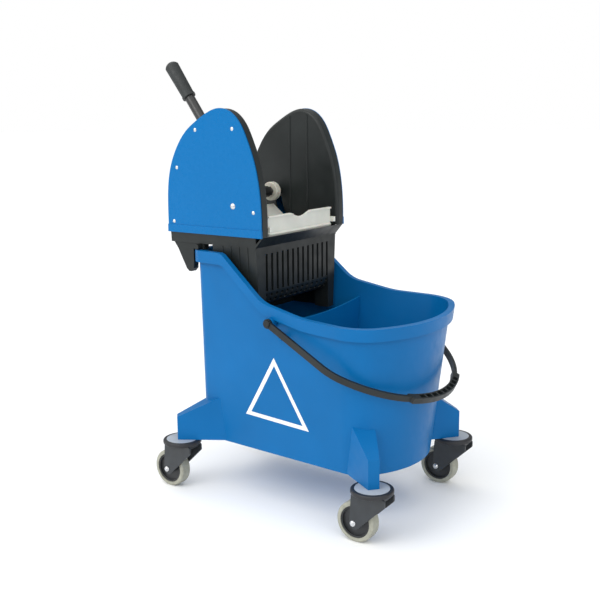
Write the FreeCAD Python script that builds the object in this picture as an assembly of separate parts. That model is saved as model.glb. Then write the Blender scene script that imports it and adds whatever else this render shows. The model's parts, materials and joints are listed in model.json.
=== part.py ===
import FreeCAD, Part
import math
import os

# Mop bucket on four swivel casters with a down-press wringer hung on its rear rim.
# Millimetres. +X is the front, where the bucket is low and rounded, +Z is up and the
# object is symmetric about the plane y = 0. "Right" is the -Y side.
V = FreeCAD.Vector

# ---------------------------------------------------------------- driving dimensions
SHIFT_X = 42.24           # moves the model so that its box is centred over the origin

WHEEL_R = 38.1            # 3 inch casters
WHEEL_W = 24.0
HUB_R = 30.0
TRAIL = 28.8              # axle behind the swivel axis
FORK_HALF = 18.8
AXLE_R = 4.0
RUN = 0.05                # radial running clearance
CASTER_X = 227.0
CASTER_Y_FRONT = 163.6
CASTER_Y_REAR = 155.8
DISC_TOP = 106.0
DISC_R = 39.0
RING_IN = 32.0            # the grey disc inside the rubber ring
FORK_TOP = 96.0

FLOOR_Z = 105.0           # underside of the tub
TOP_Z = 500.0             # height where the upper plan outline is given
WALL = 4.0
LIP = 8.0                 # the rim stands this far out from the wall
LIP_H = 23.0
RIM_PATH = [(-260.0, 496.0), (-112.0, 496.0), (-14.0, 412.0), (80.0, 394.0), (330.0, 385.5)]
RIM_RADII = [22.0, 70.0, 260.0]

DIVIDER_X = 10.0
DIVIDER_Z = 366.0
DIVIDER_RADIUS = 1135.0

BAIL_X = 8.0
BAIL_Z = 377.0
BAIL_DROP = 25.4          # degrees below level, at rest
BAIL_IN = 168.7           # inner face of the eyes
BAIL_T = 5.5
BAIL_H = 12.0
BAIL_PIN_R = 5.0
BAIL_SIDE_X = 150.00
BAIL_HALF = 184.50
BAIL_CORNER = 84.00
BAIL_NOSE_R = 196.60
BAIL_REACH = 299.50        # from the pins to the inside of the nose

FRAME_Z0 = 508.0          # wringer top frame
FRAME_Z1 = 528.0
FRAME_FRONT = -42.5
FRAME_REAR = -254.0
RAIL_IN = 118.5
SIDE_HALF_TOP = 137.0
SIDE_HALF_LOW = 128.2
LEG_Z = 354.0
BASKET_REAR = -148.0

PIVOT_X = -92.0
PIVOT_Z = 585.0
PIVOT_R = 5.0
SHAFT_X = -175.0
SHAFT_Z = 594.0
SHAFT_R = 6.0
ROLLER_R = 19.7
ARM_Y = (125.0, 130.0)     # the yoke arms run inside the side housings
LEVER_LEAN = 35.8         # degrees back from upright, at rest
TUBE_R = 10.5
TUBE_END = 300.0          # along the lever from the cross shaft
GRIP_START = 242.0
GRIP_END = 330.0

COVER_Y = (139.0, 142.2)
COVER_BACK = 1.9          # the covers sit this far behind the housings
PANEL_Y = (118.0, 138.7)
PANEL_WEB = 121.5         # outer face of the housings' inner wall
PRESS_SWING = 42.0        # degrees the lever travels


# ---------------------------------------------------------------- helpers
def box(x0, x1, y0, y1, z0, z1):
    return Part.makeBox(x1 - x0, y1 - y0, z1 - z0, V(x0, y0, z0))


def cyl_y(x, z, r, y0, y1):
    return Part.makeCylinder(r, y1 - y0, V(x, y0, z), V(0, 1, 0))


def cyl_z(x, y, r, z0, z1):
    return Part.makeCylinder(r, z1 - z0, V(x, y, z0), V(0, 0, 1))


def mirror(shape):
    return shape.mirror(V(0, 0, 0), V(0, 1, 0))


def fuse(shapes):
    whole = shapes[0].fuse(shapes[1:]) if len(shapes) > 1 else shapes[0]
    return whole.removeSplitter()


def prism_y(points, y0, y1):
    """Polygon given as (x, z), extruded from y0 to y1."""
    corners = [V(x, y0, z) for x, z in points]
    face = Part.Face(Part.makePolygon(corners + [corners[0]]))
    return face.extrude(V(0, y1 - y0, 0))


def prism_z(points, z0, z1):
    """Polygon given as (x, y), extruded from z0 to z1."""
    corners = [V(x, y, z0) for x, y in points]
    face = Part.Face(Part.makePolygon(corners + [corners[0]]))
    return face.extrude(V(0, 0, z1 - z0))


def rounded_path(points, radii):
    """Straight runs joined by tangent arcs, as edges in the plane y = 0."""
    edges = []
    start = V(points[0][0], 0, points[0][1])
    for i, radius in enumerate(radii):
        a = V(points[i][0], 0, points[i][1])
        b = V(points[i + 1][0], 0, points[i + 1][1])
        c = V(points[i + 2][0], 0, points[i + 2][1])
        into = (b - a).normalize()
        out = (c - b).normalize()
        turn = into.getAngle(out)
        setback = radius * math.tan(turn / 2)
        p = b - into * setback
        q = b + out * setback
        bisector = (out - into).normalize()
        centre = b + bisector * (radius / math.cos(turn / 2))
        middle = centre - bisector * radius
        edges.append(Part.LineSegment(start, p).toShape())
        edges.append(Part.Arc(p, middle, q).toShape())
        start = q
    last = V(points[-1][0], 0, points[-1][1])
    edges.append(Part.LineSegment(start, last).toShape())
    return edges


def below_rim(drop, bottom=0.0):
    """Everything lower than the rim's top line less drop, and above bottom."""
    edges = rounded_path(RIM_PATH, RIM_RADII)
    first = V(RIM_PATH[0][0], 0, RIM_PATH[0][1])
    last = V(RIM_PATH[-1][0], 0, RIM_PATH[-1][1])
    low_last = V(last.x, 0, bottom + drop)
    low_first = V(first.x, 0, bottom + drop)
    edges.append(Part.LineSegment(last, low_last).toShape())
    edges.append(Part.LineSegment(low_last, low_first).toShape())
    edges.append(Part.LineSegment(low_first, first).toShape())
    face = Part.Face(Part.Wire(edges))
    face.translate(V(0, -300, -drop))
    return face.extrude(V(0, 600, 0))


def arch(half_start, x_start, side_x, half, corner_r, tip):
    """Points of one side of a rounded front: side line, small arc, large arc."""
    depth = tip - side_x
    big_r = (depth ** 2 + (half - corner_r) ** 2 - corner_r ** 2) / (2 * (depth - corner_r))
    small = V(side_x, half - corner_r, 0)
    big = V(tip - big_r, 0, 0)
    reach = V(x_start, half_start, 0) - small
    aim = math.atan2(reach.y, reach.x) - math.acos(corner_r / reach.Length)
    touch = small + V(math.cos(aim), math.sin(aim), 0) * corner_r
    join_dir = (small - big).normalize()
    join = big + join_dir * big_r
    join_angle = math.atan2(join_dir.y, join_dir.x)
    mid_angle = (aim + join_angle) / 2
    middle = small + V(math.cos(mid_angle), math.sin(mid_angle), 0) * corner_r
    return touch, middle, join, V(tip, 0, 0)


def plan_wire(z, rear_x, rear_half, rear_r, side_x, half, corner_r, tip):
    """Closed plan outline: flat rear, rounded rear corners, arched front."""
    start = V(rear_x + rear_r, rear_half, 0)
    touch, middle, join, nose = arch(rear_half, rear_x + rear_r, side_x, half, corner_r, tip)
    side_dir = (touch - start).normalize()
    normal = V(-side_dir.y, side_dir.x, 0)
    centre = start - normal * rear_r
    back = V(rear_x, centre.y, 0)
    centre = V(rear_x + rear_r, centre.y, 0)
    half_way = (V(-1, 0, 0) + normal).normalize()
    corner_mid = centre + half_way * rear_r
    side_start = centre + normal * rear_r

    def low(p):
        return V(p.x, -p.y, z)

    def up(p):
        return V(p.x, p.y, z)

    edges = [
        Part.LineSegment(low(back), up(back)).toShape(),
        Part.Arc(up(back), up(corner_mid), up(side_start)).toShape(),
        Part.LineSegment(up(side_start), up(touch)).toShape(),
        Part.Arc(up(touch), up(middle), up(join)).toShape(),
        Part.Arc(up(join), up(nose), low(join)).toShape(),
        Part.Arc(low(join), low(middle), low(touch)).toShape(),
        Part.LineSegment(low(touch), low(side_start)).toShape(),
        Part.Arc(low(side_start), low(corner_mid), low(back)).toShape(),
    ]
    return Part.Wire(edges)


def tub_solid(offset, z0, z1):
    """Tapered tub outline grown by offset, between two heights."""
    def at(z):
        t = (z - FLOOR_Z) / (TOP_Z - FLOOR_Z)
        return plan_wire(z, -206.0 + 16.0 * t - offset, 115.0 + 27.0 * t + offset, 22.0 + offset,
                         150.0 + 21.0 * t, 134.0 + 53.0 * t + offset,
                         60.0 + 14.0 * t + offset, 237.0 + 37.4 * t + offset)
    return Part.makeLoft([at(z0), at(z1)], True, True)


def hull_plate(centres, y0, y1):
    """Flat plate round several circles (x, z, r) taken in order, joined by tangents."""
    count = len(centres)
    edges = []
    joints = []
    for i in range(count):
        x0, z0, r0 = centres[i]
        x1, z1, r1 = centres[(i + 1) % count]
        gap = math.hypot(x1 - x0, z1 - z0)
        base = math.atan2(z1 - z0, x1 - x0)
        swing = math.acos((r0 - r1) / gap)
        angle = base - swing
        way = V(math.cos(angle), 0, math.sin(angle))
        joints.append((V(x0, y0, z0) + way * r0, V(x1, y0, z1) + way * r1, angle))
    for i in range(count):
        before = joints[i - 1]
        here = joints[i]
        x0, z0, r0 = centres[i]
        a = before[2]
        b = here[2]
        while b < a:
            b += 2 * math.pi
        mid = (a + b) / 2
        middle = V(x0, y0, z0) + V(math.cos(mid), 0, math.sin(mid)) * r0
        edges.append(Part.Arc(before[1], middle, here[0]).toShape())
        edges.append(Part.LineSegment(here[0], here[1]).toShape())
    return Part.Face(Part.Wire(edges)).extrude(V(0, y1 - y0, 0))


def save(name, shape):
    placed = shape.copy()
    placed.translate(V(SHIFT_X, 0, 0))
    placed.exportStep("parts/" + name + ".step")


def save_pair(name, right_shape):
    """A piece drawn on the right side, with its mirror image on the left."""
    save(name + "_right", right_shape)
    save(name + "_left", mirror(right_shape))


# ---------------------------------------------------------------- bucket
def outrigger(cx, cy):
    """Tapered fin that carries one caster, drawn on the +Y side, hollow from below."""
    anchor = V(cx - math.copysign(85.0, cx), cy - 75.0, 0)
    way = V(cx, cy, 0) - anchor
    reach = way.Length
    angle = math.degrees(math.atan2(way.y, way.x))
    end = reach + 9.0
    end_top = 160.0 if cx > 0 else 154.0
    inner_top = end_top + (0.70 if cx > 0 else 0.48) * end

    def fin(skin, z_low):
        side = [(0, z_low), (end - skin, z_low), (end - skin, end_top - skin), (0, inner_top - skin)]
        body = prism_y(side, -40, 40)
        wide = 32.0 - skin
        thin = 10.5 - skin
        plan = prism_z([(0, -wide), (end - skin, -thin), (end - skin, thin), (0, wide)], 90, 300)
        return body.common(plan)

    shape = fin(0.0, DISC_TOP)
    hollow = fin(WALL, DISC_TOP - 1)
    hollow = hollow.cut(cyl_z(reach, 0, 10.0, 90, 146))
    shape = shape.cut(hollow)
    shape = shape.cut(cyl_z(reach, 0, 5.5 + RUN, 90, 140))
    shape.rotate(V(0, 0, 0), V(0, 0, 1), angle)
    shape.translate(anchor)
    return shape


def make_bucket():
    cavity = tub_solid(-WALL, FLOOR_Z + WALL, 560.0)
    outside = tub_solid(0.0, FLOOR_Z, 520.0)
    tall = outside.cut(cavity)
    wall = tall.common(below_rim(0.0))
    lip_band = below_rim(0.0, 200.0).cut(below_rim(LIP_H, 100.0))
    lip_outer = tub_solid(LIP, 300.0, 540.0)
    lip_under = tub_solid(LIP - WALL, 300.0, 540.0)
    skirt = lip_outer.cut(lip_under).common(lip_band)
    web_band = below_rim(0.0, 200.0).cut(below_rim(WALL, 100.0))
    web = lip_outer.cut(cavity).common(web_band)
    divider = box(DIVIDER_X - WALL / 2, DIVIDER_X + WALL / 2, -170, 170, FLOOR_Z + 1, 380)
    divider = divider.common(tub_solid(-WALL / 2, FLOOR_Z + 1, 400.0))
    dish = Part.makeCylinder(DIVIDER_RADIUS, 40, V(-10, 0, DIVIDER_Z + DIVIDER_RADIUS), V(1, 0, 0))
    divider = divider.cut(dish)
    pieces = [wall, skirt, web, divider]
    for cx, cy in ((CASTER_X, CASTER_Y_FRONT), (-CASTER_X, CASTER_Y_REAR)):
        fin = outrigger(cx, cy).cut(tub_solid(-WALL / 2, 95.0, 400.0))
        pieces += [fin, mirror(fin)]
    boss = cyl_y(BAIL_X, BAIL_Z, 10.5, 152.0, BAIL_IN - 0.4)
    angle = math.radians(BAIL_DROP)
    lug_x = BAIL_X + 34 * math.cos(angle) - 11 * math.sin(angle)
    lug_z = BAIL_Z - 34 * math.sin(angle) - 11 * math.cos(angle)
    lug = cyl_y(lug_x, lug_z, 4.7, 150.0, BAIL_IN + 4.0)
    for fitting in (boss, lug):
        fitting = fitting.cut(cavity)
        pieces += [fitting, mirror(fitting)]
    bucket = fuse(pieces)
    for side in (-1, 1):
        low, high = sorted((side * 155.5, side * 190.0))
        bucket = bucket.cut(cyl_y(BAIL_X, BAIL_Z, BAIL_PIN_R + RUN, low, high))
    return bucket


# ---------------------------------------------------------------- bail handle
def bail_outline(grow):
    """Half outline of the bail in its own plane, from the eye to the middle."""
    touch, middle, join, nose = arch(BAIL_IN + grow, 0.0, BAIL_SIDE_X, BAIL_HALF + grow,
                                     BAIL_CORNER + grow, BAIL_REACH + grow)
    return touch, middle, join, nose


def make_bail():
    def u_face(grow_in, grow_out):
        edges = []
        rings = []
        for grow in (grow_in, grow_out):
            touch, middle, join, nose = bail_outline(grow)
            eye = V(0, BAIL_IN + grow, 0)

            def low(p):
                return V(p.x, -p.y, 0)

            ring = [
                Part.LineSegment(eye, touch).toShape(),
                Part.Arc(touch, middle, join).toShape(),
                Part.Arc(join, nose, low(join)).toShape(),
                Part.Arc(low(join), low(middle), low(touch)).toShape(),
                Part.LineSegment(low(touch), low(eye)).toShape(),
            ]
            rings.append((ring, eye, low(eye)))
        edges += rings[0][0] + rings[1][0]
        edges.append(Part.LineSegment(rings[0][1], rings[1][1]).toShape())
        edges.append(Part.LineSegment(rings[0][2], rings[1][2]).toShape())
        return Part.Face(Part.Wire(Part.__sortEdges__(edges)))

    band = u_face(0.0, BAIL_T).extrude(V(0, 0, BAIL_H))
    band.translate(V(0, 0, -BAIL_H / 2))
    grip = u_face(-3.5, BAIL_T + 5.0).extrude(V(0, 0, BAIL_H))
    grip.translate(V(0, 0, -BAIL_H / 2))
    grip = grip.common(box(200, BAIL_REACH + 20, -92, 92, -20, 20))
    bail = fuse([band, grip])
    big_r = BAIL_NOSE_R
    nose_mid = BAIL_REACH + BAIL_T / 2 + 0.7
    for i in range(-4, 5):
        angle = math.degrees(i * 17.0 / big_r)
        window = box(big_r - 4.3, big_r + 4.3, -6.3, 6.3, -20, 20)
        window.rotate(V(0, 0, 0), V(0, 0, 1), angle)
        window.translate(V(nose_mid - big_r, 0, 0))
        bail = bail.cut(window)
    for side in (-1, 1):
        low, high = sorted((side * BAIL_IN, side * (BAIL_IN + BAIL_T)))
        eye = Part.makeCylinder(9.0, high - low, V(0, low, 0), V(0, 1, 0))
        hole = Part.makeCylinder(BAIL_PIN_R + RUN, 60, V(0, side * 170 - 30, 0), V(0, 1, 0))
        bail = bail.fuse(eye).cut(hole)
    bail.rotate(V(0, 0, 0), V(0, 1, 0), BAIL_DROP)
    bail.translate(V(BAIL_X, 0, BAIL_Z))
    return bail.removeSplitter()


def make_bail_pin():
    """Right side: shank in the boss and a low head outside the eye."""
    head_y = BAIL_IN + BAIL_T + 1.3
    shank = cyl_y(BAIL_X, BAIL_Z, BAIL_PIN_R, -head_y, -158.0)
    head = Part.makeCone(5.6, 7.2, 2.6, V(BAIL_X, -(head_y + 2.6), BAIL_Z), V(0, 1, 0))
    return fuse([shank, head])


# ---------------------------------------------------------------- casters
def caster_nodes(tag, cx, cy):
    ax = cx - TRAIL
    az = WHEEL_R
    disc = cyl_z(cx, cy, RING_IN, DISC_TOP - 5, DISC_TOP)
    disc = disc.fuse(Part.makeCone(20, RING_IN, 4, V(cx, cy, DISC_TOP - 9), V(0, 0, 1)))
    disc = disc.cut(cyl_z(cx, cy, 5.5 + RUN, 60, 120))
    ring = cyl_z(cx, cy, DISC_R, DISC_TOP - 9.5, DISC_TOP - 0.3)
    ring = ring.cut(cyl_z(cx, cy, RING_IN, DISC_TOP - 5, DISC_TOP + 5))
    ring = ring.cut(Part.makeCone(24.5, RING_IN, 4.5, V(cx, cy, DISC_TOP - 9.5), V(0, 0, 1)))
    ring = ring.makeFillet(3.2, [e for e in ring.Edges if e.Length > 2 * math.pi * DISC_R - 1])
    stem = cyl_z(cx, cy, 5.5, FORK_TOP - 12, 138)
    stem = stem.fuse(cyl_z(cx, cy, 9.0, FORK_TOP - 12, FORK_TOP - 9))
    crown = cyl_z(cx, cy, 20.0, FORK_TOP - 7, FORK_TOP)
    arm = hull_plate([(ax + 3.5, az, 10.5), (cx + 31.0, FORK_TOP - 11.5, 4.5),
                      (cx + 31.0, FORK_TOP - 4.5, 4.5), (cx - 27.0, FORK_TOP - 6.0, 6.0)],
                     cy - FORK_HALF, cy - FORK_HALF + 4.0)
    other = arm.copy()
    other.translate(V(0, 2 * FORK_HALF - 4.0, 0))
    bridge = box(cx - 27, cx + 31, cy - FORK_HALF, cy + FORK_HALF, FORK_TOP - 6, FORK_TOP)
    bearing = cyl_z(cx, cy, 12.5, FORK_TOP - 9, FORK_TOP + 0.7)
    fork = fuse([crown, arm, other, bridge, bearing])
    fork = fork.cut(cyl_z(cx, cy, 5.5 + RUN, 60, 120))
    fork = fork.cut(cyl_y(ax, az, AXLE_R + RUN, cy - 40, cy + 40))
    half = WHEEL_W / 2
    axle = cyl_y(ax, az, AXLE_R, cy - FORK_HALF - 0.1, cy + FORK_HALF + 3.0)
    dome = Part.makeSphere(6.2, V(ax, cy - FORK_HALF + 1.9, az))
    dome = dome.common(box(ax - 9, ax + 9, cy - 40, cy - FORK_HALF - 0.1, az - 9, az + 9))
    nut = Part.makePolygon([V(ax + 7 * math.cos(math.radians(60 * k)), cy + FORK_HALF + 0.1,
                              az + 7 * math.sin(math.radians(60 * k))) for k in range(7)])
    nut = Part.Face(nut).extrude(V(0, 5.0, 0))
    axle = fuse([axle, dome, nut])
    hub = cyl_y(ax, az, HUB_R, cy - half + 1.5, cy + half - 1.5)
    for side in (-1, 1):
        low, high = sorted((side * (half - 6.0), side * half))
        dish = cyl_y(ax, az, HUB_R - 3.5, cy + low, cy + high).cut(
            cyl_y(ax, az, 10.0, cy - 20, cy + 20))
        hub = hub.cut(dish)
    hub = hub.fuse(cyl_y(ax, az, 9.0, cy - FORK_HALF + 4.4, cy + FORK_HALF - 4.4))
    hub = hub.cut(cyl_y(ax, az, AXLE_R + RUN, cy - 40, cy + 40))
    tyre = cyl_y(ax, az, WHEEL_R, cy - half, cy + half)
    tyre = tyre.makeFillet(4.0, [e for e in tyre.Edges if e.Length > 2 * math.pi * WHEEL_R - 1
                                 and e.Curve.TypeId == "Part::GeomCircle"])
    tyre = tyre.cut(cyl_y(ax, az, HUB_R, cy - 20, cy + 20))
    save("bumper_disc_" + tag, disc)
    save("bumper_ring_" + tag, ring)
    save("caster_stem_" + tag, stem)
    save("caster_fork_" + tag, fork)
    save("caster_axle_" + tag, axle)
    save("wheel_hub_" + tag, hub)
    save("wheel_tyre_" + tag, tyre)


# ---------------------------------------------------------------- wringer body
def side_half(z):
    slope = (SIDE_HALF_TOP - SIDE_HALF_LOW) / (FRAME_Z0 - LEG_Z)
    return SIDE_HALF_LOW + slope * (z - LEG_Z)


def side_wall(x0, x1, z0, z1, thick):
    """Tapered right-hand side wall between two heights."""
    def ring(z):
        y = -side_half(z)
        return Part.makePolygon([V(x0, y, z), V(x1, y, z), V(x1, y + thick, z),
                                 V(x0, y + thick, z), V(x0, y, z)])
    return Part.makeLoft([ring(z0), ring(z1)], True, True)


def corner_cut(side, front_x):
    """Wedge that bevels one front corner of the basket over its whole height."""
    def ring(z):
        y = side * side_half(z)
        return Part.makePolygon([V(front_x - 6, y + side, z), V(front_x + 1, y + side, z),
                                 V(front_x + 1, y - side * 6, z), V(front_x - 6, y + side, z)])
    return Part.makeLoft([ring(LEG_Z - 1), ring(FRAME_Z0)], True, True)


def groove_skin(side, front_x):
    """Outer 2.2 mm of a side wall, where its grooves are sunk."""
    wall = side_wall(BASKET_REAR, front_x, LEG_Z, FRAME_Z0, 2.2)
    return wall if side < 0 else mirror(wall)


SIDE_GROOVES = [(-128.0, -119.0), (-66.0, -56.0)]


def make_basket():
    skin = 4.0
    front_x = FRAME_FRONT
    slot_low = 421.0
    right = [
        side_wall(BASKET_REAR, front_x, LEG_Z, FRAME_Z0, skin),
        side_wall(front_x - 9, front_x, LEG_Z, FRAME_Z0, 9.0),
        box(front_x - skin, front_x, -side_half(LEG_Z), -108, LEG_Z, slot_low),
        box(front_x - 33, front_x, -112, -108, LEG_Z, 430.0),
    ]
    for x in (-64.0, -84.0, -104.0, -124.0):
        rib = side_wall(x - 2, x + 2, 398.0, FRAME_Z0, 4.0)
        rib.translate(V(0, -1.0, 0))
        right.append(rib.common(box(-200, 0, -200, 0, 440.0, FRAME_Z0)))
    right.append(box(BASKET_REAR, front_x, -122.0, -RAIL_IN, 388.0, FRAME_Z0))
    floor = box(FRAME_REAR, front_x, -(SIDE_HALF_TOP), -RAIL_IN, FRAME_Z0, FRAME_Z0 + skin)
    inner = box(FRAME_REAR, front_x, -(RAIL_IN + skin), -RAIL_IN, FRAME_Z0, FRAME_Z1)
    flare_side = Part.makePolygon([V(FRAME_REAR, -137, FRAME_Z0), V(FRAME_REAR, -133, FRAME_Z0),
                                   V(FRAME_REAR, -134.2, FRAME_Z1), V(FRAME_REAR, -138.2, FRAME_Z1),
                                   V(FRAME_REAR, -137, FRAME_Z0)])
    flare = Part.Face(flare_side).extrude(V(front_x - FRAME_REAR, 0, 0))
    rear_end = box(FRAME_REAR, FRAME_REAR + skin, -137, -RAIL_IN, FRAME_Z0, FRAME_Z1)
    right += [floor, inner, flare, rear_end]
    left = [mirror(s) for s in right]
    slope_low = [(front_x - skin, FRAME_Z0 - 2), (front_x, FRAME_Z0 - 2), (front_x, FRAME_Z0),
                 (-25.0, FRAME_Z1 + 0.5), (-29.0, FRAME_Z1 + 0.5), (front_x - skin, FRAME_Z0 + 2)]
    front_flare = prism_y(slope_low, -139.0, 139.0)
    front = box(front_x - skin, front_x, -side_half(430), side_half(430), slot_low, FRAME_Z0)
    rear = box(BASKET_REAR, BASKET_REAR + skin, -125.0, 125.0, LEG_Z, 465.0)
    beam = box(FRAME_REAR, FRAME_REAR + 18, -RAIL_IN, RAIL_IN, FRAME_Z0, FRAME_Z0 + skin)
    beam = beam.fuse(box(FRAME_REAR, FRAME_REAR + skin, -RAIL_IN, RAIL_IN, FRAME_Z0, FRAME_Z1))
    tray_outer = rounded_path([(front_x, slot_low), (-50.0, 394.0), (-110.0, 386.0),
                               (BASKET_REAR, 394.0)], [24.0, 150.0])
    tray_inner = rounded_path([(front_x - skin, slot_low), (-54.0, 398.0), (-110.0, 390.0),
                               (BASKET_REAR, 398.0)], [20.0, 146.0])
    close_a = Part.LineSegment(V(front_x, 0, slot_low), V(front_x - skin, 0, slot_low)).toShape()
    close_b = Part.LineSegment(V(BASKET_REAR, 0, 394.0), V(BASKET_REAR, 0, 398.0)).toShape()
    ring = Part.__sortEdges__(tray_outer + tray_inner + [close_a, close_b])
    tray = Part.Face(Part.Wire(ring))
    tray.translate(V(0, -RAIL_IN, 0))
    tray = tray.extrude(V(0, 2 * RAIL_IN, 0))
    basket = fuse(right + left + [front_flare, front, rear, beam, tray])
    cutters = []
    for i in range(13):
        y = (i - 6) * 17.4
        cutters.append(box(front_x - 10, front_x + 5, y - 3.2, y + 3.2, slot_low, 494.0))
        for z in (413.0, 402.5):
            cutters.append(Part.makeCylinder(3.4, 26, V(-66, y, z), V(1, 0, 0)))
        for x in (-80.0, -97.0, -114.0, -131.0):
            cutters.append(cyl_z(x, y, 3.6, 370, 401.5))
    return basket.cut(Part.makeCompound(cutters))


def panel_outline(inset):
    """Arched outline of the side panels in X and Z, stepped in by inset."""
    left = [(-254.0, 528.0), (-253.0, 600.0), (-245.5, 649.0), (-229.0, 688.0), (-199.0, 726.0),
            (-173.0, 744.0), (-138.0, 762.0)]
    right = [(-124.0, 765.6), (-97.0, 762.0), (-74.0, 744.0), (-54.0, 708.0), (-40.0, 672.0),
             (-31.0, 636.0), (-26.0, 600.0), (-24.0, 528.0)]
    points = [V(x, 0, z) for x, z in left + right]
    curve = Part.BSplineCurve()
    curve.interpolate(points)
    inner = []
    for p in points:
        along = curve.tangent(curve.parameter(p))[0]
        inner.append(p + V(along.z, 0, -along.x) * inset)
    inner[0] = V(inner[0].x, 0, 528.0 + inset)
    inner[-1] = V(inner[-1].x, 0, 528.0 + inset)
    edge = Part.BSplineCurve()
    edge.interpolate(inner)
    foot = Part.LineSegment(inner[-1], inner[0]).toShape()
    return Part.Face(Part.Wire([edge.toShape(), foot]))


def arched_plate(inset, y0, y1):
    face = panel_outline(inset)
    face.translate(V(0, y0, 0))
    return face.extrude(V(0, y1 - y0, 0))


BOLT_TIP = 120.0          # the pivot bolts end inside the housings' inner wall
SLOT_HALF = 8.6
RIVETS = [(-180.0, 726.0), (-90.0, 728.0), (-229.5, 654.0), (-43.6, 575.0), (-241.0, 549.0)]


def shaft_slot(y0, y1):
    """Arc slot about the lever's pivot, for the cross shaft's travel."""
    arm = math.hypot(SHAFT_X - PIVOT_X, SHAFT_Z - PIVOT_Z)
    half = SLOT_HALF
    ring = cyl_y(PIVOT_X, PIVOT_Z, arm + half, y0, y1).cut(
        cyl_y(PIVOT_X, PIVOT_Z, arm - half, y0 - 1, y1 + 1))
    start = math.atan2(SHAFT_Z - PIVOT_Z, SHAFT_X - PIVOT_X)
    end = start + math.radians(PRESS_SWING)
    reach = 2 * arm
    corners = [(PIVOT_X, PIVOT_Z)]
    for angle in (start, (start + end) / 2, end):
        corners.append((PIVOT_X + reach * math.cos(angle), PIVOT_Z + reach * math.sin(angle)))
    slot = ring.common(prism_y(corners, y0, y1))
    for angle in (start, end):
        slot = slot.fuse(cyl_y(PIVOT_X + arm * math.cos(angle), PIVOT_Z + arm * math.sin(angle),
                               half, y0, y1))
    return slot


def make_side_panel():
    """Right side: housing, closed towards the mop and open under the blue cover."""
    low, high = PANEL_Y
    outer = arched_plate(0.8, -high, -low)
    arch_edge = [e for e in outer.Edges if e.Length > 400 and abs(e.CenterOfMass.y + low) < 0.1]
    outer = outer.makeFillet(7.0, arch_edge)
    hollow = arched_plate(5.3, -high - 1, -PANEL_WEB)
    arch_edge = [e for e in hollow.Edges
                 if e.Length > 400 and abs(e.CenterOfMass.y + PANEL_WEB) < 0.1]
    hollow = hollow.makeFillet(3.0, arch_edge)
    panel = outer.cut(hollow)
    panel = panel.cut(box(-197.0, -132.0, -high - 1, -PANEL_WEB, 525.0, 540.0))
    extras = [cyl_y(PIVOT_X, PIVOT_Z, 10.0, -ARM_Y[0] + 0.6, -PANEL_WEB + 1)]
    extras += [cyl_y(x, z, 4.5, -high, -PANEL_WEB + 1) for x, z in RIVETS]
    for x in (-144.0, -100.0):
        bead = cyl_z(x, -low, 1.8, 534.0, 760.0)
        extras.append(bead.common(arched_plate(9.0, -low - 2, -low + 2)))
    panel = fuse([panel] + extras)
    panel = panel.cut(shaft_slot(-PANEL_WEB - 2, -low + 3))
    panel = panel.cut(cyl_y(PIVOT_X, PIVOT_Z, PIVOT_R + RUN, -high, -BOLT_TIP + 0.2))
    for x, z in RIVETS:
        panel = panel.cut(cyl_y(x, z, 1.8, -high - 1, -128.0))
    return panel


def make_side_cover():
    low, high = COVER_Y
    cover = arched_plate(0.0, -high, -low)
    cover.translate(V(-COVER_BACK, 0, 0))
    band = prism_y([(-256.6, 528.0), (-25.0, 528.0), (-25.2, 543.0), (-256.4, 543.0)],
                   -high - 1.2, -low)
    cover = fuse([cover, band])
    cover = cover.cut(cyl_y(PIVOT_X, PIVOT_Z, PIVOT_R + RUN, -150, -100))
    for x, z in RIVETS:
        cover = cover.cut(cyl_y(x, z, 1.8, -150, -130.0))
    return cover


def make_rivets():
    solids = []
    face_y = -COVER_Y[1]
    for x, z in RIVETS:
        dome = Part.makeSphere(5.0, V(x, face_y + 3.4, z))
        dome = dome.common(box(x - 6, x + 6, face_y - 5, face_y, z - 6, z + 6))
        solids.append(dome.fuse(cyl_y(x, z, 1.8, face_y, -129.0)))
    return Part.makeCompound(solids)


def make_pivot_bolt():
    face_y = -COVER_Y[1]
    shank = cyl_y(PIVOT_X, PIVOT_Z, PIVOT_R, face_y, -BOLT_TIP)
    head = Part.makeSphere(7.6, V(PIVOT_X, face_y + 4.8, PIVOT_Z))
    head = head.common(box(PIVOT_X - 12, PIVOT_X + 12, face_y - 9, face_y, PIVOT_Z - 12,
                           PIVOT_Z + 12))
    return fuse([shank, head])


def make_return_spring():
    """Flat torsion spring round the pivot bolt, between yoke arm and cover."""
    wire_r = 1.3
    coil_r = 12.0
    pitch = 3.2
    turns = 1.5
    start_y = -137.2
    helix = Part.makeHelix(pitch, pitch * turns, coil_r)
    section = Part.Wire(Part.makeCircle(wire_r, V(coil_r, 0, 0), V(0, 1, 0)))
    coil = Part.Wire(helix).makePipeShell([section], True, True)
    coil.rotate(V(0, 0, 0), V(1, 0, 0), -90)
    coil.translate(V(PIVOT_X, start_y, PIVOT_Z))
    return coil


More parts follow.
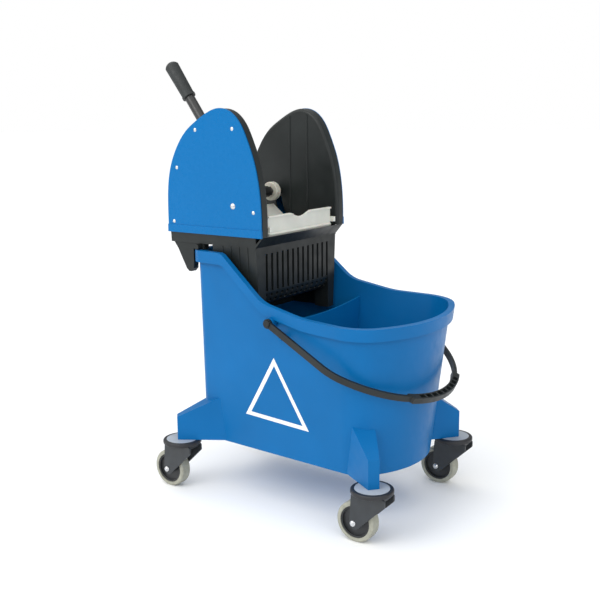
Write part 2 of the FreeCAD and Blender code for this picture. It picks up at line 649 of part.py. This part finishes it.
def make_front_plate():
    """Upright plate with a rounded dip in its top edge for the mop's handle."""
    half = 107.3
    top = 566.0
    plate = box(-40.0, -36.0, -half, half, 523.5, top)
    lip = box(-40.0, -33.0, -half, half, top - 3.5, top)
    foot = prism_y([(-40.0, 523.5), (-35.2, 523.5), (-33.4, 531.0), (-36.0, 534.0),
                    (-40.0, 534.0)], -half, half)
    ears = [box(-38.0, -27.0, half - 1, half + 6.1, 536.0, 546.0)]
    ears.append(mirror(ears[0]))
    dip = [(-38.0, top + 1), (-30.0, 564.6), (-17.0, 560.0), (0.0, 557.0), (17.0, 560.0),
           (30.0, 564.6), (38.0, top + 1)]
    curve = Part.BSplineCurve()
    curve.interpolate([V(-60, y, z) for y, z in dip])
    roof = Part.makePolygon([V(-60, 38, top + 1), V(-60, 38, top + 9), V(-60, -38, top + 9),
                             V(-60, -38, top + 1)])
    cutter = Part.Face(Part.Wire([curve.toShape()] + roof.Edges)).extrude(V(50, 0, 0))
    return fuse([plate, lip, foot] + ears).cut(cutter)


KNOB_AT = (-182.0, 502.2)


def make_bracket():
    """Right side: claw that hangs the wringer over the rear rim."""
    outline = [(-250.0, 508.0), (-240.0, 495.0), (-219.0, 456.0), (-213.0, 450.5),
               (-206.5, 450.5), (-200.5, 457.0), (-199.6, 470.0), (-199.6, 496.6),
               (-172.0, 496.6), (-172.0, 508.0)]
    claw = prism_y(outline, -134.0, -120.0)
    return claw.cut(cyl_y(*KNOB_AT, 2.5, -135.0, -119.0))


def make_knob():
    x, z = KNOB_AT
    shaft = cyl_y(x, z, 2.5, -134.0, -121.0)
    knob = cyl_y(x, z, 5.3, -146.0, -134.0)
    for k in range(8):
        angle = math.radians(45 * k)
        groove = cyl_y(x + 5.8 * math.cos(angle), z + 5.8 * math.sin(angle), 1.2, -146.5, -136.0)
        knob = knob.cut(groove)
    return fuse([shaft, knob])


# ---------------------------------------------------------------- lever and press plate
def along_lever(distance):
    lean = math.radians(LEVER_LEAN)
    return V(SHAFT_X - distance * math.sin(lean), 0, SHAFT_Z + distance * math.cos(lean))


def lever_cylinder(r, d0, d1):
    start = along_lever(d0)
    return Part.makeCylinder(r, d1 - d0, start, along_lever(d1) - start)


def plate_top(x):
    """Height of the press plate's sloped back at x."""
    return 562.0 + (x + 207.0) * 4.0 / 27.0


SCREW_X = -195.0
SCREW_Y = (39.5, 56.5)


def screw_part(y, r, low, high):
    """Cylinder square to the press plate's back, between two distances from it."""
    slope = math.atan2(4.0, 27.0)
    axis = V(-math.sin(slope), 0, math.cos(slope))
    start = V(SCREW_X, y, plate_top(SCREW_X)) + axis * low
    return Part.makeCylinder(r, high - low, start, axis)


def make_yoke():
    """Cross tube with the lever's socket and two hangers, and the two outer arms."""
    low, high = ARM_Y
    circles = [(SHAFT_X, SHAFT_Z, 13.0), (PIVOT_X, PIVOT_Z, 13.0)]
    right = hull_plate(circles, -high, -low)
    cross = cyl_y(SHAFT_X, SHAFT_Z, 12.0, -76.0, 76.0)
    socket = lever_cylinder(14.5, 8.0, 66.0)
    spacer = cyl_y(SHAFT_X, SHAFT_Z, 7.2, -low, -101.2)
    webs = []
    for side in (-1, 1):
        tip = along_lever(52.0)
        face = Part.Face(Part.makePolygon([V(SHAFT_X, side * 13, SHAFT_Z),
                                           V(SHAFT_X, side * 44, SHAFT_Z),
                                           V(tip.x, side * 13, tip.z),
                                           V(SHAFT_X, side * 13, SHAFT_Z)]))
        lean = math.radians(LEVER_LEAN)
        webs.append(face.extrude(V(4.0 * math.cos(lean), 0, 4.0 * math.sin(lean))))
    foot_side = [(-206.0, plate_top(-206.0)), (-184.0, plate_top(-184.0)),
                 (-184.0, plate_top(-184.0) + 4.2), (-206.0, plate_top(-206.0) + 4.2)]
    hanger = hull_plate([(SHAFT_X, SHAFT_Z, 12.0), (-194.0, 574.0, 7.0)], -52.0, -44.0)
    foot = prism_y(foot_side, -61.0, -35.0)
    webs += [hanger, mirror(hanger), foot, mirror(foot)]
    body = fuse([cross, socket] + webs)
    body = body.cut(cyl_y(SHAFT_X, SHAFT_Z, SHAFT_R + 0.02, -130, 130))
    body = body.cut(lever_cylinder(TUBE_R + 0.02, 12.0, 90.0))
    for y in SCREW_Y:
        for side in (-1, 1):
            body = body.cut(screw_part(side * y, 2.02, -1.0, 9.0))
    arms = []
    for arm, end in ((right, spacer), (mirror(right), mirror(spacer))):
        arm = fuse([arm, end])
        arm = arm.cut(cyl_y(SHAFT_X, SHAFT_Z, SHAFT_R + 0.02, -140, 140))
        arms.append(arm.cut(cyl_y(PIVOT_X, PIVOT_Z, PIVOT_R + RUN, -140, 140)))
    return body, arms


def make_shaft():
    shaft = cyl_y(SHAFT_X, SHAFT_Z, SHAFT_R, -132.0, 132.0)
    caps = [cyl_y(SHAFT_X, SHAFT_Z, 8.5, ARM_Y[1] + 0.1, 133.0)]
    caps.append(mirror(caps[0]))
    return fuse([shaft] + caps)


def make_roller():
    """Right side: plain roller with rounded edges."""
    roller = cyl_y(SHAFT_X, SHAFT_Z, ROLLER_R, -100.6, -85.6)
    roller = roller.makeFillet(2.5, [e for e in roller.Edges
                                     if e.Curve.TypeId == "Part::GeomCircle"])
    return roller.cut(cyl_y(SHAFT_X, SHAFT_Z, SHAFT_R + RUN, -110, -80))


def make_roller_nut():
    points = [V(SHAFT_X + 11.0 * math.cos(math.radians(60 * k + 12)), -84.9,
                SHAFT_Z + 11.0 * math.sin(math.radians(60 * k + 12))) for k in range(7)]
    nut = Part.Face(Part.makePolygon(points)).extrude(V(0, 7.0, 0))
    return nut.cut(cyl_y(SHAFT_X, SHAFT_Z, SHAFT_R, -90, -70))


def make_press_plate():
    half = 106.0
    outline = [(-207.0, 562.0), (-180.0, 566.0), (-157.0, 547.5), (-125.0, 520.7),
               (-133.0, 508.0), (-160.0, 500.0), (-190.0, 535.0), (-207.0, 555.0)]
    block = prism_y(outline, -half, half)
    hollow = [(-204.0, 550.0), (-203.0, 558.5), (-181.5, 561.5), (-159.5, 544.0),
              (-132.0, 521.0), (-137.5, 511.0), (-130.0, 490.0), (-170.0, 480.0),
              (-215.0, 545.0)]
    width = 31.5
    for i in range(6):
        y0 = -half + 4.0 + i * (width + 3.0)
        block = block.cut(prism_y(hollow, y0, y0 + width))
    for y in SCREW_Y:
        for side in (-1, 1):
            block = block.cut(screw_part(side * y, 2.02, -8.0, 1.0))
    return block.removeSplitter()


def make_plate_screws():
    """Four screws that hold the press plate to the hangers' feet."""
    solids = []
    for y in SCREW_Y:
        for side in (-1, 1):
            shank = screw_part(side * y, 2.0, -3.4, 4.3)
            solids.append(shank.fuse(screw_part(side * y, 4.4, 4.3, 7.0)))
    return Part.makeCompound(solids)


def make_lever_tube():
    return lever_cylinder(TUBE_R, 12.5, TUBE_END).cut(lever_cylinder(TUBE_R - 2.0, 0.0, 400.0))


def make_lever_grip():
    """Moulded grip: collar, slightly flared barrel and domed end, bored for the tube."""
    collar = cyl_z(0, 0, 14.6, GRIP_START, GRIP_START + 6.0)
    collar = collar.makeFillet(1.2, [e for e in collar.Edges
                                     if e.Curve.TypeId == "Part::GeomCircle"])
    length = GRIP_END - GRIP_START - 9.0
    barrel = Part.makeCone(13.2, 15.0, length, V(0, 0, GRIP_START))
    dome_r = 17.0
    dome = Part.makeSphere(dome_r, V(0, 0, GRIP_END - dome_r))
    dome = dome.common(cyl_z(0, 0, 20.0, GRIP_END - 9.0, GRIP_END + 1))
    solid = fuse([collar, barrel, dome])
    solid = solid.cut(cyl_z(0, 0, TUBE_R + 0.02, GRIP_START - 1, TUBE_END + 0.5))
    solid.rotate(V(0, 0, 0), V(0, 1, 0), -LEVER_LEAN)
    solid.translate(V(SHAFT_X, 0, SHAFT_Z))
    return solid


# ---------------------------------------------------------------- write everything
os.makedirs("parts", exist_ok=True)

save("bucket_shell", make_bucket())
save("bail_handle", make_bail())
save_pair("bail_pin", make_bail_pin())

CORNERS = [("front_right", CASTER_X, -CASTER_Y_FRONT), ("front_left", CASTER_X, CASTER_Y_FRONT),
           ("rear_right", -CASTER_X, -CASTER_Y_REAR), ("rear_left", -CASTER_X, CASTER_Y_REAR)]
for corner_tag, corner_x, corner_y in CORNERS:
    caster_nodes(corner_tag, corner_x, corner_y)

save("wringer_basket", make_basket())
save_pair("side_panel", make_side_panel())
save_pair("side_cover", make_side_cover())
save_pair("cover_rivets", make_rivets())
save_pair("pivot_bolt", make_pivot_bolt())
save_pair("return_spring", make_return_spring())
save("front_plate", make_front_plate())
save_pair("rim_bracket", make_bracket())
save_pair("retaining_knob", make_knob())

yoke_body, yoke_arms = make_yoke()
save("lever_yoke", yoke_body)
save("yoke_arm_right", yoke_arms[0])
save("yoke_arm_left", yoke_arms[1])
save("cross_shaft", make_shaft())
save_pair("press_roller", make_roller())
save_pair("roller_nut", make_roller_nut())
save("press_plate", make_press_plate())
save("press_plate_screws", make_plate_screws())
save("lever_tube", make_lever_tube())
save("lever_grip", make_lever_grip())
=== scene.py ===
"""Looks of the mop bucket with its down-press wringer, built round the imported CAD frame.

Metres, +X the front of the bucket, +Y its left side, +Z up.
"""
import json
import math
import bpy
from mathutils import Matrix, Vector
from mathutils.bvhtree import BVHTree


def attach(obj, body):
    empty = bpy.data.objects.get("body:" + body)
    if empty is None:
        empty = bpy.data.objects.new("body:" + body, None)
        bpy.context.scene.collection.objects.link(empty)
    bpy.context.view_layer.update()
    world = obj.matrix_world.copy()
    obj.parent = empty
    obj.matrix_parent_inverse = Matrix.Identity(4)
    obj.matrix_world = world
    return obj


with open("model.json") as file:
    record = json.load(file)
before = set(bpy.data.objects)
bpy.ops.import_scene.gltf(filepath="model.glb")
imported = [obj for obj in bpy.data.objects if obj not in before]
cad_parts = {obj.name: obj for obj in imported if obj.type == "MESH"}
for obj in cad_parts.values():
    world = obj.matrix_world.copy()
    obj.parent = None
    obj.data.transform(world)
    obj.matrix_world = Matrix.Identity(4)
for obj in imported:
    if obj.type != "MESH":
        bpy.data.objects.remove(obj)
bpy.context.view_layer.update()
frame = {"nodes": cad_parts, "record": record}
NODES = frame["nodes"]

SIDES = ("right", "left")
CORNERS = ("front_right", "front_left", "rear_right", "rear_left")


# ---------------------------------------------------------------- material helpers
class Shader:
    """A Principled material with short ways to add and link nodes."""

    def __init__(self, name, colour, rough, **sockets):
        self.material = bpy.data.materials.new(name)
        self.material.use_nodes = True
        self.tree = self.material.node_tree
        self.bsdf = self.tree.nodes["Principled BSDF"]
        self.colour = colour
        self.set(self.bsdf, **{"Base Color": (*colour, 1.0), "Roughness": rough}, **sockets)
        self.place = self.node("ShaderNodeTexCoord").outputs["Object"]

    def node(self, kind, inputs=None, **settings):
        made = self.tree.nodes.new(kind)
        for key, value in settings.items():
            setattr(made, key, value)
        self.set(made, **(inputs or {}))
        return made

    def set(self, node, **inputs):
        for key, value in inputs.items():
            if isinstance(value, bpy.types.NodeSocket):
                self.tree.links.new(value, node.inputs[key])
            else:
                node.inputs[key].default_value = value

    def noise(self, scale, detail=2.0, rough=0.5, stretch=(1.0, 1.0, 1.0)):
        """Noise in metres, from 0 to 1, stretched by a factor along each axis."""
        place = self.place
        if stretch != (1.0, 1.0, 1.0):
            mapping = self.node("ShaderNodeMapping", {"Vector": place, "Scale": stretch})
            place = mapping.outputs["Vector"]
        made = self.node("ShaderNodeTexNoise", {"Vector": place, "Scale": scale,
                                                "Detail": detail, "Roughness": rough})
        return made.outputs["Fac"]

    def spread(self, value, low, high, start=0.0, end=1.0):
        """The value's stretch from start to end, moved to run from low to high."""
        made = self.node("ShaderNodeMapRange", {"Value": value, "From Min": start, "From Max": end,
                                                "To Min": low, "To Max": high})
        return made.outputs["Result"]

    def mix(self, factor, first, second):
        """Colour between two colours or sockets."""
        made = self.node("ShaderNodeMix", data_type="RGBA")
        for index, value in ((0, factor), (6, first), (7, second)):
            if isinstance(value, bpy.types.NodeSocket):
                self.tree.links.new(value, made.inputs[index])
            elif index:
                made.inputs[index].default_value = (*value, 1.0)
            else:
                made.inputs[index].default_value = value
        return made.outputs[2]

    def shade(self, factor):
        """The base colour times a factor, not above 1."""
        return tuple(min(1.0, c * factor) for c in self.colour)

    def vary(self, scale, low, high):
        """Slow drift of the base colour between two brightnesses."""
        drift = self.spread(self.noise(scale, 3.0), 0.0, 1.0, 0.3, 0.7)
        tone = self.mix(drift, self.shade(low), self.shade(high))
        self.set(self.bsdf, **{"Base Color": tone})
        return tone

    def roughness(self, scale, low, high, detail=3.0):
        value = self.spread(self.noise(scale, detail), low, high, 0.3, 0.7)
        self.set(self.bsdf, Roughness=value)

    def bump(self, layers):
        """Relief from (height socket, depth in metres) pairs."""
        normal = None
        for height, depth in layers:
            made = self.node("ShaderNodeBump", {"Strength": 1.0, "Distance": depth,
                                                "Height": height})
            if normal is not None:
                self.set(made, Normal=normal)
            normal = made.outputs["Normal"]
        self.set(self.bsdf, Normal=normal)


def dust(shader, tone, colour, amount):
    """Thin pale dust that settles on faces that look up."""
    normal = shader.node("ShaderNodeNewGeometry").outputs["Normal"]
    split = shader.node("ShaderNodeSeparateXYZ", {"Vector": normal})
    up = shader.spread(split.outputs["Z"], 0.0, amount, 0.6, 1.0)
    patch = shader.node("ShaderNodeMath", operation="MULTIPLY")
    shader.tree.links.new(up, patch.inputs[0])
    shader.tree.links.new(shader.spread(shader.noise(35.0, 5.0), 0.3, 1.0, 0.35, 0.7),
                          patch.inputs[1])
    shader.set(shader.bsdf, **{"Base Color": shader.mix(patch.outputs[0], tone, colour)})


# ---------------------------------------------------------------- materials
def blue_plastic():
    """Moulded polyethylene: waxy, softly glossy, with a fine orange-peel skin."""
    s = Shader("blue_plastic", (0.0012, 0.124, 0.350), 0.42, **{"Specular IOR Level": 0.14})
    s.vary(7.0, 0.93, 1.06)
    s.roughness(60.0, 0.30, 0.42)
    s.bump([(s.noise(9.0, 2.0), 0.0007), (s.noise(420.0, 2.0), 0.000018),
            (s.noise(1500.0, 1.0), 0.000004)])
    return s.material


def cover_blue():
    """Formed sheet, flatter and glossier than the bucket."""
    s = Shader("cover_blue", (0.0012, 0.132, 0.370), 0.34, **{"Specular IOR Level": 0.14,
                                                              "Coat Weight": 0.04,
                                                              "Coat Roughness": 0.12})
    s.vary(5.0, 0.97, 1.03)
    s.roughness(90.0, 0.24, 0.32)
    s.bump([(s.noise(9.0, 1.0), 0.0003), (s.noise(900.0, 1.0), 0.000003)])
    return s.material


def black_plastic():
    """Glass-filled moulding: satin, with a leathery fine grain and flow streaks."""
    s = Shader("black_plastic", (0.0105, 0.0135, 0.0135), 0.40, **{"Specular IOR Level": 0.34})
    tone = s.vary(14.0, 0.78, 1.3)
    dust(s, tone, (0.026, 0.030, 0.029), 0.2)
    s.roughness(45.0, 0.34, 0.52)
    grain = s.node("ShaderNodeTexVoronoi", {"Vector": s.place, "Scale": 1100.0}).outputs["Distance"]
    streaks = s.noise(160.0, 3.0, stretch=(1.0, 1.0, 0.12))
    s.bump([(streaks, 0.00003), (grain, 0.000012)])
    return s.material


def black_steel():
    """Powder coat on steel."""
    s = Shader("black_steel", (0.013, 0.0135, 0.014), 0.38, **{"Coat Weight": 0.2,
                                                               "Coat Roughness": 0.25})
    s.vary(30.0, 0.8, 1.25)
    s.roughness(120.0, 0.30, 0.46)
    s.bump([(s.noise(900.0, 2.0), 0.000008)])
    return s.material


def cream_plastic():
    """Natural nylon: off-white, slightly translucent, with faint flow marks."""
    s = Shader("cream_plastic", (0.700, 0.705, 0.640), 0.45, **{"Subsurface Weight": 0.12,
                                                                "Subsurface Scale": 0.004})
    tone = s.vary(24.0, 0.90, 1.03)
    dust(s, tone, (0.60, 0.60, 0.54), 0.3)
    s.roughness(70.0, 0.38, 0.55)
    s.bump([(s.noise(60.0, 3.0), 0.00010), (s.noise(1300.0, 2.0), 0.000008)])
    return s.material


def roller_plastic():
    """Nylon roller, polished and yellowed by use."""
    s = Shader("roller_plastic", (0.62, 0.60, 0.51), 0.38, **{"Subsurface Weight": 0.1,
                                                              "Subsurface Scale": 0.003})
    s.vary(60.0, 0.82, 1.05)
    s.roughness(150.0, 0.28, 0.5)
    s.bump([(s.noise(500.0, 3.0), 0.00005)])
    return s.material


def zinc_steel():
    """Bright zinc plating with fine spangle."""
    s = Shader("zinc_steel", (0.62, 0.63, 0.645), 0.28, Metallic=1.0)
    s.vary(220.0, 0.85, 1.1)
    s.roughness(300.0, 0.2, 0.38)
    s.bump([(s.noise(1500.0, 2.0), 0.00002)])
    return s.material


def bumper_grey():
    """Pale grey moulded disc with a faint fine grain."""
    s = Shader("bumper_grey", (0.36, 0.40, 0.45), 0.34)
    tone = s.vary(40.0, 0.88, 1.08)
    dust(s, tone, (0.42, 0.44, 0.46), 0.35)
    s.roughness(90.0, 0.28, 0.44)
    s.bump([(s.noise(700.0, 2.0), 0.00003)])
    return s.material


def bumper_black():
    """Soft black rubber, matt, with lighter scuffs."""
    s = Shader("bumper_black", (0.010, 0.0105, 0.013), 0.5)
    tone = s.vary(50.0, 0.8, 1.5)
    scuff = s.spread(s.noise(240.0, 6.0, 0.7), 0.0, 0.4, 0.60, 0.72)
    s.set(s.bsdf, **{"Base Color": s.mix(scuff, tone, (0.05, 0.052, 0.058))})
    s.roughness(80.0, 0.42, 0.62)
    s.bump([(s.noise(1100.0, 3.0), 0.00005)])
    return s.material


def tyre_grey():
    """Non-marking rubber tread: matt warm grey, with rolling dirt."""
    s = Shader("tyre_grey", (0.335, 0.335, 0.275), 0.55)
    tone = s.vary(70.0, 0.85, 1.08)
    dirt = s.spread(s.noise(130.0, 7.0, 0.65), 0.0, 0.45, 0.50, 0.75)
    s.set(s.bsdf, **{"Base Color": s.mix(dirt, tone, (0.16, 0.155, 0.13))})
    s.roughness(110.0, 0.48, 0.66)
    s.bump([(s.noise(900.0, 4.0), 0.00008)])
    return s.material


def hub_black():
    """Dark moulded wheel centre."""
    s = Shader("hub_black", (0.014, 0.0155, 0.0175), 0.4)
    s.vary(60.0, 0.75, 1.35)
    s.roughness(80.0, 0.34, 0.5)
    s.bump([(s.noise(1000.0, 2.0), 0.00004)])
    return s.material


def fork_grey():
    """Charcoal glass-filled fork, satin with a fine spark-eroded grain."""
    s = Shader("fork_grey", (0.022, 0.026, 0.030), 0.42)
    tone = s.vary(45.0, 0.85, 1.2)
    dust(s, tone, (0.05, 0.055, 0.06), 0.3)
    s.roughness(70.0, 0.34, 0.5)
    grain = s.node("ShaderNodeTexVoronoi", {"Vector": s.place, "Scale": 1500.0}).outputs["Distance"]
    s.bump([(grain, 0.000010)])
    return s.material


def grip_rubber():
    """Moulded grip: matt, dusty charcoal with a fine pebble."""
    s = Shader("grip_rubber", (0.014, 0.017, 0.0175), 0.50)
    s.vary(60.0, 0.8, 1.35)
    s.roughness(90.0, 0.46, 0.64)
    grain = s.node("ShaderNodeTexVoronoi", {"Vector": s.place, "Scale": 1300.0}).outputs["Distance"]
    s.bump([(grain, 0.000012)])
    return s.material


def white_mark():
    """Printed mark: thin white ink, a little worn."""
    s = Shader("white_mark", (0.80, 0.81, 0.82), 0.4)
    s.vary(180.0, 0.86, 1.05)
    s.roughness(200.0, 0.34, 0.5)
    s.bump([(s.noise(1200.0, 2.0), 0.00001)])
    return s.material


MATERIALS = {make.__name__: make() for make in (
    blue_plastic, cover_blue, black_plastic, black_steel, cream_plastic, roller_plastic,
    zinc_steel, bumper_grey, bumper_black, tyre_grey, hub_black, fork_grey, grip_rubber,
    white_mark)}


def paint_nodes():
    """Every CAD node takes the material of its slot in the record."""
    for part in frame["record"]["subparts"]:
        data = NODES[part["node"]].data
        data.materials.clear()
        data.materials.append(MATERIALS[part["material_slot"]])


# ---------------------------------------------------------------- edge rounding
WELD_GAP = 0.00002        # metres within which vertices are one
FLAT_ANGLE = 0.4          # degrees within which neighbouring faces count as one
EDGE_ANGLE = 30.0         # degrees past which an edge is hard
WIDE_EDGE = 0.0015        # metres of rounding past which an edge gets a third segment


def soften(name, width, segments=2):
    """Rounds the hard edges of a CAD node with modifiers; its own mesh is untouched."""
    node = NODES[name]
    data = node.data
    if "custom_normal" in data.attributes:
        data.attributes.remove(data.attributes["custom_normal"])
    data.polygons.foreach_set("use_smooth", [True] * len(data.polygons))
    weld = node.modifiers.new("weld", "WELD")
    weld.merge_threshold = WELD_GAP
    flat = node.modifiers.new("flat", "DECIMATE")
    flat.decimate_type = "DISSOLVE"
    flat.angle_limit = math.radians(FLAT_ANGLE)
    bevel = node.modifiers.new("round", "BEVEL")
    bevel.width = width
    bevel.segments = segments
    bevel.limit_method = "ANGLE"
    bevel.angle_limit = math.radians(EDGE_ANGLE)
    bevel.harden_normals = True
    bevel.use_clamp_overlap = True
    normals = node.modifiers.new("shade", "WEIGHTED_NORMAL")
    normals.keep_sharp = True
    return node


def soften_all():
    """Edge radii by part: soft mouldings round more than sheet and turned parts."""
    for name, width in (("bucket_shell", 0.0014), ("wringer_basket", 0.0011),
                        ("bail_handle", 0.0012), ("front_plate", 0.0007),
                        ("press_plate", 0.0022), ("lever_yoke", 0.0012)):
        soften(name, width, 3 if width > WIDE_EDGE else 2)
    for side in SIDES:
        for stem, width in (("side_panel_", 0.0009), ("side_cover_", 0.0006),
                            ("rim_bracket_", 0.0010), ("yoke_arm_", 0.0006),
                            ("roller_nut_", 0.0005), ("press_roller_", 0.0009)):
            soften(stem + side, width)
    for corner in CORNERS:
        for stem, width in (("caster_fork_", 0.0012), ("wheel_hub_", 0.0006),
                            ("bumper_disc_", 0.0008)):
            soften(stem + corner, width)


# ---------------------------------------------------------------- side marks
# Corners are x and z, in metres, as seen square to the tub's side.
MARK_CORNERS = ((0.0438, 0.306), (-0.0398, 0.1765), (0.1172, 0.172))
MARK_STROKE = 0.0082
MARK_LIFT = 0.00018       # ink stands this far off the tub
MARK_STEPS = 40           # points along each side, so that the mark follows the wall
MARK_OUTSIDE = 0.3        # a distance from the middle that is clear of the tub


def inset(corners, amount):
    """The triangle with every side moved in by an amount."""
    lines = []
    for i in range(3):
        a = Vector(corners[i])
        b = Vector(corners[(i + 1) % 3])
        way = (b - a).normalized()
        lines.append((a + Vector((-way.y, way.x)) * amount, way))
    moved = []
    for i in range(3):
        p, d = lines[i - 1]
        q, e = lines[i]
        cross = d.x * e.y - d.y * e.x
        gap = q - p
        moved.append(p + d * ((gap.x * e.y - gap.y * e.x) / cross))
    return moved


def side_mark(side):
    """Plain outlined triangle printed on the tub's side, without figure or lettering."""
    sign = -1.0 if side == "right" else 1.0
    tub = NODES["bucket_shell"]
    surface = BVHTree.FromObject(tub, bpy.context.evaluated_depsgraph_get())
    outer = inset(MARK_CORNERS, 0.0)
    inner = inset(MARK_CORNERS, MARK_STROKE)
    verts = []
    faces = []
    home = tub.matrix_world.inverted()
    for i in range(3):
        start = len(verts)
        j = (i + 1) % 3
        for k in range(MARK_STEPS + 1):
            share = k / MARK_STEPS
            for line in (outer, inner):
                spot = line[i].lerp(line[j], share)
                origin = home @ Vector((spot.x, sign * MARK_OUTSIDE, spot.y))
                hit, normal = surface.ray_cast(origin, Vector((0.0, -sign, 0.0)))[:2]
                verts.append(hit + normal * MARK_LIFT)
        for k in range(MARK_STEPS):
            quad = [start + 2 * k, start + 2 * k + 1, start + 2 * k + 3, start + 2 * k + 2]
            faces.append(quad if sign < 0 else quad[::-1])
    mesh = bpy.data.meshes.new("side_mark_" + side)
    mesh.from_pydata(verts, [], faces)
    mesh.materials.append(MATERIALS["white_mark"])
    mark = bpy.data.objects.new("side_mark_" + side, mesh)
    mark.matrix_world = tub.matrix_world
    bpy.context.scene.collection.objects.link(mark)
    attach(mark, "bucket")


# ---------------------------------------------------------------- studio
def make_floor():
    """Plain pale floor, wide enough to meet the pale backdrop at the horizon."""
    half = 40.0
    mesh = bpy.data.meshes.new("floor")
    mesh.from_pydata([(-half, -half, 0), (half, -half, 0), (half, half, 0), (-half, half, 0)],
                     [], [(0, 1, 2, 3)])
    floor = bpy.data.objects.new("floor", mesh)
    bpy.context.scene.collection.objects.link(floor)
    s = Shader("floor_pale", (0.965, 0.97, 0.975), 0.6)
    s.vary(1.5, 0.99, 1.01)
    mesh.materials.append(s.material)


def area_light(name, place, aim, size, power, colour):
    light = bpy.data.lights.new(name, "AREA")
    light.shape = "DISK"
    light.size = size
    light.energy = power
    light.color = colour
    lamp = bpy.data.objects.new(name, light)
    lamp.location = place
    lamp.rotation_euler = (Vector(aim) - Vector(place)).to_track_quat("-Z", "Y").to_euler()
    bpy.context.scene.collection.objects.link(lamp)


def sun_light(name, aim, wide, power, colour):
    """Very soft far light that shines along aim; wide is its angle in degrees."""
    light = bpy.data.lights.new(name, "SUN")
    light.energy = power
    light.angle = math.radians(wide)
    light.color = colour
    lamp = bpy.data.objects.new(name, light)
    lamp.rotation_euler = Vector(aim).to_track_quat("-Z", "Y").to_euler()
    bpy.context.scene.collection.objects.link(lamp)


AIM = (0.0, 0.0, 0.4)       # the lamps point here
BACKDROP = 1.0            # strength of the white that the camera sees
ROOM_LIGHT = 0.42         # strength of the white that lights the object


def make_lights():
    sun_light("sky", (0.25, 0.45, -1.0), 120.0, 2.75, (1.0, 0.995, 0.985))
    area_light("key", (-0.7, -2.6, 2.3), AIM, 1.8, 26.0, (1.0, 0.99, 0.97))
    area_light("fill", (2.9, -0.9, 1.5), AIM, 2.2, 20.0, (0.97, 0.985, 1.0))
    world = bpy.data.worlds.new("studio")
    bpy.context.scene.world = world
    world.use_nodes = True
    tree = world.node_tree
    tree.nodes.clear()
    out = tree.nodes.new("ShaderNodeOutputWorld")
    seen = tree.nodes.new("ShaderNodeBackground")
    lit = tree.nodes.new("ShaderNodeBackground")
    mix = tree.nodes.new("ShaderNodeMixShader")
    path = tree.nodes.new("ShaderNodeLightPath")
    seen.inputs["Color"].default_value = (1.0, 1.0, 1.0, 1.0)
    seen.inputs["Strength"].default_value = BACKDROP
    lit.inputs["Color"].default_value = (0.95, 0.98, 1.0, 1.0)
    lit.inputs["Strength"].default_value = ROOM_LIGHT
    tree.links.new(path.outputs["Is Camera Ray"], mix.inputs[0])
    tree.links.new(lit.outputs[0], mix.inputs[1])
    tree.links.new(seen.outputs[0], mix.inputs[2])
    tree.links.new(mix.outputs[0], out.inputs["Surface"])
    bpy.context.scene.view_settings.view_transform = "Standard"


CAMERA_PLACE = (1.03561, -1.47957, 0.75019)
CAMERA_TURN = 34.903       # degrees round the object
CAMERA_PITCH = 11.366     # degrees down
CAMERA_ROLL = -0.498


def make_camera():
    """Three-quarter view from the front right, a little above the bucket."""
    azimuth = math.radians(CAMERA_TURN)
    pitch = math.radians(CAMERA_PITCH)
    roll = math.radians(CAMERA_ROLL)
    ahead = Vector((-math.sin(azimuth) * math.cos(pitch), math.cos(azimuth) * math.cos(pitch),
                    -math.sin(pitch)))
    level = Vector((math.cos(azimuth), math.sin(azimuth), 0.0))
    above = level.cross(ahead)
    right = level * math.cos(roll) + above * math.sin(roll)
    up = above * math.cos(roll) - level * math.sin(roll)
    turn = Matrix((right, up, -ahead)).transposed().to_4x4()
    data = bpy.data.cameras.new("camera")
    data.sensor_width = 36.0
    data.lens = 54.92
    data.clip_end = 200.0
    camera = bpy.data.objects.new("camera", data)
    camera.matrix_world = Matrix.Translation(CAMERA_PLACE) @ turn
    bpy.context.scene.collection.objects.link(camera)
    bpy.context.scene.camera = camera


# ---------------------------------------------------------------- assembly
make_camera()
make_lights()
make_floor()
paint_nodes()
soften_all()
for mark_side in SIDES:
    side_mark(mark_side)
